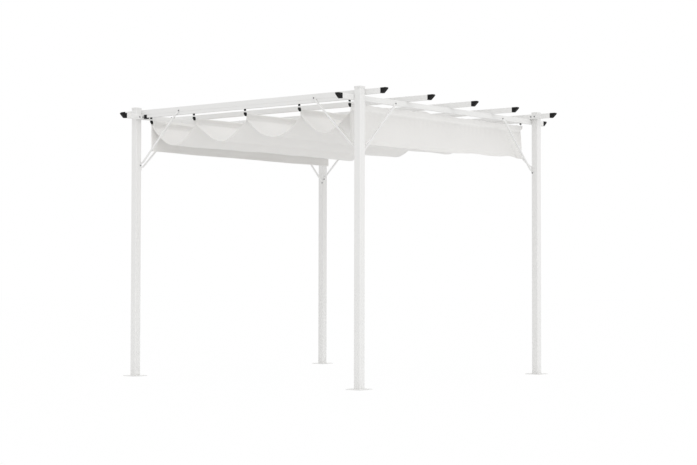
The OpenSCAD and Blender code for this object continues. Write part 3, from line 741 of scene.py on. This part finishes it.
def swag_grid(i):
    """Middle points of the swag between bars i and i + 1, with a tab up into each sleeve."""
    x0 = BARS[i] + SEAM_HALF
    x1 = BARS[i + 1] - SEAM_HALF
    phase = SWAG_PHASES[i]
    s = hem_places(2 * EDGE, SWAG_COLUMNS)
    u = np.linspace(0, 1, SWAG_ROWS)
    y = mix(-EDGE, EDGE, s)
    uu, yy = np.meshgrid(u, y, indexing="ij")
    from_bar = np.minimum(uu, 1 - uu) * (x1 - x0)
    z = SEAM_Z - swag_fall(i, u)[:, None] * swag_depth(i, s)[None, :]
    z += seam_gathers(yy, from_bar, phase)
    if i == BUNCHED_SWAG:
        z += bunched(uu, yy + EDGE)
    broad = ripple(yy, phase, **SWAG_FOLDS, shift=BROAD_SLANT * uu)
    z += BROAD_HEIGHT * broad * rise(from_bar, 0, BROAD_FULL)
    tab = np.zeros((len(TAB_SHARES), len(s), 3))
    tab[:, :, 0] = x0
    tab[:, :, 1] = y[None, :]
    tab[:, :, 2] = SEAM_Z + (TAB * np.array(TAB_SHARES))[:, None]
    end = tab[::-1].copy()
    end[:, :, 0] = x1
    return np.concatenate([tab, np.stack([mix(x0, x1, uu), yy, z], axis=2), end]), s


def swag(i, cloth, thread):
    """The swag between bars i and i + 1, which moves with bar i + 1."""
    grid, s = swag_grid(i)
    made = cloth_piece(f"swag_{i + 1}", grid, hem_thickness(s, 2 * EDGE)[None, :], cloth)
    n = normals_of(grid)
    free = slice(len(TAB_SHARES), -len(TAB_SHARES))
    rows = []
    # The front hem is stitched where it stops, and the rear hem along its middle
    for column in (HEM_STOP, FAR_HEM_MIDDLE):
        for side in (-1, 1):
            rows.append(hem_row(grid[free, column], n[free, column], side))
    hem = stitches(f"swag_stitches_{i + 1}", rows, thread)
    for piece in (made, hem):
        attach(piece, BODIES[i + 1])
        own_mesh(piece)
    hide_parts(f"canopy_panel_{i + 1}")


# Valances


def hem_rise(s, side):
    """How far a valance's hem is above its lowest line: the right one lifts towards its rear."""
    if side < 0:
        return LEFT_HEM_WAVE * np.sin(LEFT_HEM_TURN * s + LEFT_HEM_PHASE)
    wave = RIGHT_HEM_WAVE * np.sin(RIGHT_HEM_TURN * (s - RIGHT_HEM_LEVEL_AT))
    lift = RIGHT_HEM_LIFT * rise(s, *RIGHT_HEM_LIFTS) + wave * rise(s, 0, RIGHT_HEM_WAVE_FULL)
    return lift + RIGHT_HEM_RISE * hump(s, RIGHT_HEM_RISE_AT, RIGHT_HEM_RISE_WIDTH)


def header_ruffle(y, above, kind):
    """How far the header's top is above its level line."""
    ruffle = RUFFLE_HEIGHT * ripple(y, kind.phase, **HEADER_RUFFLES)
    ruffle += SMALL_RUFFLE_HEIGHT * np.sin(y / SMALL_RUFFLE_RADIAN + kind.phase)
    ruffle += kind.puff * hump(y, PUFF_AT, PUFF_WIDTH)
    return (ruffle - RUFFLE_SINK) * rise(above, *RUFFLED)


def hanging_folds(s, below, kind):
    """Soft folds of a hanging valance, which deepen towards its hem."""
    wide = WIDE_SHARE * np.sin(2 * math.pi * WIDE_FOLDS * s + kind.phase)
    narrow = NARROW_SHARE * np.sin(2 * math.pi * NARROW_FOLDS * s + 2 * kind.phase)
    return kind.side * FOLD_DEPTH * below * rise(below, 0, FOLD_FULL) * (wide + narrow)


def valance_gathers(y, above, below, kind):
    """Fine gathers of a valance on both sides of its seam."""
    fine = ripple(y, kind.phase, **VALANCE_GATHERS)
    over = GATHER_ABOVE * (1 + fine) * rise(above, 0, GATHER_ABOVE_FULL)
    fade = np.exp(-below / GATHER_BELOW_FADE)
    return over + GATHER_BELOW * fine * rise(below, 0, GATHER_BELOW_FULL) * fade


def flared_corner(s, below, kind):
    """How far a valance's rear corner flares out, less the crease in front of it."""
    out = kind.flare * rise(s, FLARE_START, 1) * below ** FLARE_POWER
    crease = hump(s, FLARE_CREASE_AT + FLARE_CREASE_SLANT * below, FLARE_CREASE_WIDTH)
    return out - FLARE_CREASE * kind.flare * crease * rise(below, *FLARE_CREASE_DROPS)


def valance_grid(kind):
    """Middle points of a valance: past the bar and its sleeve's seam, then hanging free."""
    s = hem_places(kind.ends[1] - kind.ends[0], VALANCE_COLUMNS)
    top = BAR_Z + BAR_R + kind.stand - SEAM_Z
    length = top + kind.drop
    v = np.concatenate([
        np.linspace(0, top / length, HEADER_ROWS)[:-1],
        np.linspace(top / length, 1 - (HEM_WIDTH + HEM_STEP) / length, VALANCE_ROWS),
        [1 - HEM_WIDTH / length, 1 - HEM_WIDTH / length / 2, 1],
    ])
    ss, vv = np.meshgrid(s, v)
    y = mix(kind.ends[0], kind.ends[1], ss)
    above = np.maximum(top - vv * length, 0)
    below = np.clip((vv * length - top) / kind.drop, 0, 1)
    z = SEAM_Z + above + header_ruffle(y, above, kind)
    z -= below * (kind.drop - hem_rise(ss, kind.side))
    clear = BAR_R + PAST_SLEEVE_CLOTHS * CLOTH_THICK
    x = mix(SEAM_HALF, clear, rise(above, *PAST_SLEEVE))
    x += hanging_folds(ss, below, kind)
    x += valance_gathers(y, above, below, kind)
    x += flared_corner(ss, below, kind)
    ear = rise(ss, *EAR_SHARES) * rise(above, *EAR_HEIGHTS)
    x += kind.ear[0] * ear
    y = y + kind.ear[1] * ear
    return np.stack([BARS[kind.bar] + kind.side * x, y, z], axis=2), s, v, length


def valance(kind, cloth, header_band_painted_light, thread):
    """A valance sewn to a bar's sleeve, with hems along its sides and foot, and a header band of
    painted light.
    """
    grid, s, v, length = valance_grid(kind)
    width = kind.ends[1] - kind.ends[0]
    across = hem_thickness(s, width)[None, :]
    in_foot_hem = v >= 1 - HEM_WIDTH / length - ROUNDING
    down = np.where(in_foot_hem, HEM_THICK, CLOTH_THICK)[:, None]
    made = cloth_piece(kind.name, grid, np.maximum(across, down), cloth)
    # Faces above the band's start take the band's cloth: painted light, which lightens the header
    # where the beam above shades it.
    made.data.materials.append(header_band_painted_light)
    for face in made.data.polygons:
        face.material_index = int(face.center.z > SEAM_Z + PAINTED_LIGHT_BAND_START)
    n = normals_of(grid)
    rows = []
    for side in (-1, 1):
        rows.append(hem_row(grid[FAR_HEM_MIDDLE], n[FAR_HEM_MIDDLE], side))
        for column in (HEM_MIDDLE, FAR_HEM_MIDDLE):
            rows.append(hem_row(grid[:, column], n[:, column], side))
    hem = stitches(f"{kind.name}_stitches", rows, thread)
    for piece in (made, hem):
        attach(piece, BODIES[kind.bar])
    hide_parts(kind.node)


# The whole canopy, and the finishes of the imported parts


def canopy():
    """All the cloth: a sleeve on each bar, a swag in each bay, and a valance at either end."""
    cloth = woven_cloth(
        "canopy_cloth", light=(0.905, 0.896, 0.880, 1), dark=(0.885, 0.876, 0.860, 1), through=0.22)
    # The sleeves are the canopy's cloth doubled round the bar, so less light comes through them,
    # and their colour is a little darker than the canopy cloth: painted shade on the sleeve bands.
    doubled_cloth_painted_shade = woven_cloth(
        "sleeve_cloth_painted_shade", light=(0.895, 0.886, 0.870, 1), dark=(0.875, 0.866, 0.850, 1), through=0.20)
    # The header band lets almost no light through, as a doubled band would. It is also painted
    # light: it makes the valances' tops read lighter where the beam above shades them.
    header_band_painted_light = woven_cloth(
        "header_band_cloth_painted_light", light=(0.858, 0.849, 0.834, 1), dark=(0.838, 0.829, 0.814, 1), through=0.02)
    thread = sewing_thread()
    for i in range(len(BARS)):
        sleeve(i, doubled_cloth_painted_shade, thread)
    for i in range(len(BARS) - 1):
        swag(i, cloth, thread)
    for kind in (LEFT_VALANCE, RIGHT_VALANCE):
        valance(kind, cloth, header_band_painted_light, thread)


def finishes():
    """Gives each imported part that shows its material."""
    by_slot = {
        "white_frame": powder_coat(),
        "white_plastic": cap_plastic(),
        "black_plastic": black_plastic(),
        "steel_bolts": dull_zinc(),
        "bar_metal": drawn_aluminium(),
    }
    for row in frame["record"]["subparts"]:
        if row["material_slot"] not in by_slot:
            continue
        part = frame["nodes"][row["node"]]
        material = by_slot[row["material_slot"]]
        if not part.material_slots:
            part.data.materials.append(material)
        for slot in part.material_slots:
            slot.material = material


# Studio


def floor():
    """A wide white floor, which shows nearly white with a faint shadow of the pergola."""
    s = new_material("floor_white")
    matt = s.node("ShaderNodeBsdfDiffuse")
    matt.inputs["Color"].default_value = (0.86, 0.86, 0.86, 1)
    glow = s.node("ShaderNodeEmission")
    glow.inputs["Color"].default_value = (1, 1, 1, 1)
    share = s.math("MULTIPLY_ADD", s.seen(), FLOOR_GLOW_SEEN - FLOOR_GLOW, FLOOR_GLOW)
    shown = s.mix_shader(share, matt.outputs[0], glow.outputs[0])
    corners = [(-1, -1), (1, -1), (1, 1), (-1, 1)]
    mesh = bpy.data.meshes.new("floor")
    mesh.from_pydata([(FLOOR_HALF * x, FLOOR_HALF * y, 0) for x, y in corners], [], [(0, 1, 2, 3)])
    mesh.materials.append(s.finish(shown))
    made = bpy.data.objects.new("floor", mesh)
    made.location.z = -FLOOR_GAP
    bpy.context.scene.collection.objects.link(made)


def world():
    """Soft even light, and pure white where the camera sees past the floor."""
    s = Shader(bpy.data.worlds.new("studio"))
    light = s.node("ShaderNodeBackground")
    light.inputs["Color"].default_value = (1, 1, 1, 1)
    s.link(s.remap(s.seen(), WORLD_LIGHT, WORLD_SEEN), light.inputs["Strength"])
    bpy.context.scene.world = s.finish(light.outputs[0])


def sun(name, toward, strength, angle):
    """A soft lamp that shines from the direction toward."""
    lamp = bpy.data.lights.new(name, "SUN")
    lamp.energy = strength
    lamp.angle = math.radians(angle)
    made = bpy.data.objects.new(name, lamp)
    made.rotation_mode = "QUATERNION"
    made.rotation_quaternion = Vector(toward).to_track_quat("Z", "Y")
    bpy.context.scene.collection.objects.link(made)


def camera():
    """The photograph's camera: turned by yaw from looking along +Y, then pitched and rolled."""
    right = Vector((math.cos(CAMERA_YAW), math.sin(CAMERA_YAW), 0))
    level = Vector((-math.sin(CAMERA_YAW), math.cos(CAMERA_YAW), 0))
    ahead = level * math.cos(CAMERA_PITCH) + Vector((0, 0, math.sin(CAMERA_PITCH)))
    upward = Vector((0, 0, math.cos(CAMERA_PITCH))) - level * math.sin(CAMERA_PITCH)
    across = right * math.cos(CAMERA_ROLL) + upward * math.sin(CAMERA_ROLL)
    above = upward * math.cos(CAMERA_ROLL) - right * math.sin(CAMERA_ROLL)
    lens = bpy.data.cameras.new("camera")
    lens.sensor_width = SENSOR_WIDTH
    lens.lens = CAMERA_LENS
    lens.clip_end = CAMERA_REACH
    made = bpy.data.objects.new("camera", lens)
    turn = Matrix((across, above, -ahead)).transposed().to_4x4()
    made.matrix_world = Matrix.Translation(CAMERA_AT) @ turn
    bpy.context.scene.collection.objects.link(made)
    bpy.context.scene.camera = made


camera()
finishes()
canopy()
floor()
world()
sun("key", toward=(0.88, -0.32, 0.35), strength=0.46, angle=45)
sun("overhead", toward=(0.15, -0.10, 1.0), strength=0.39, angle=80)
bpy.context.scene.view_settings.view_transform = "Standard"
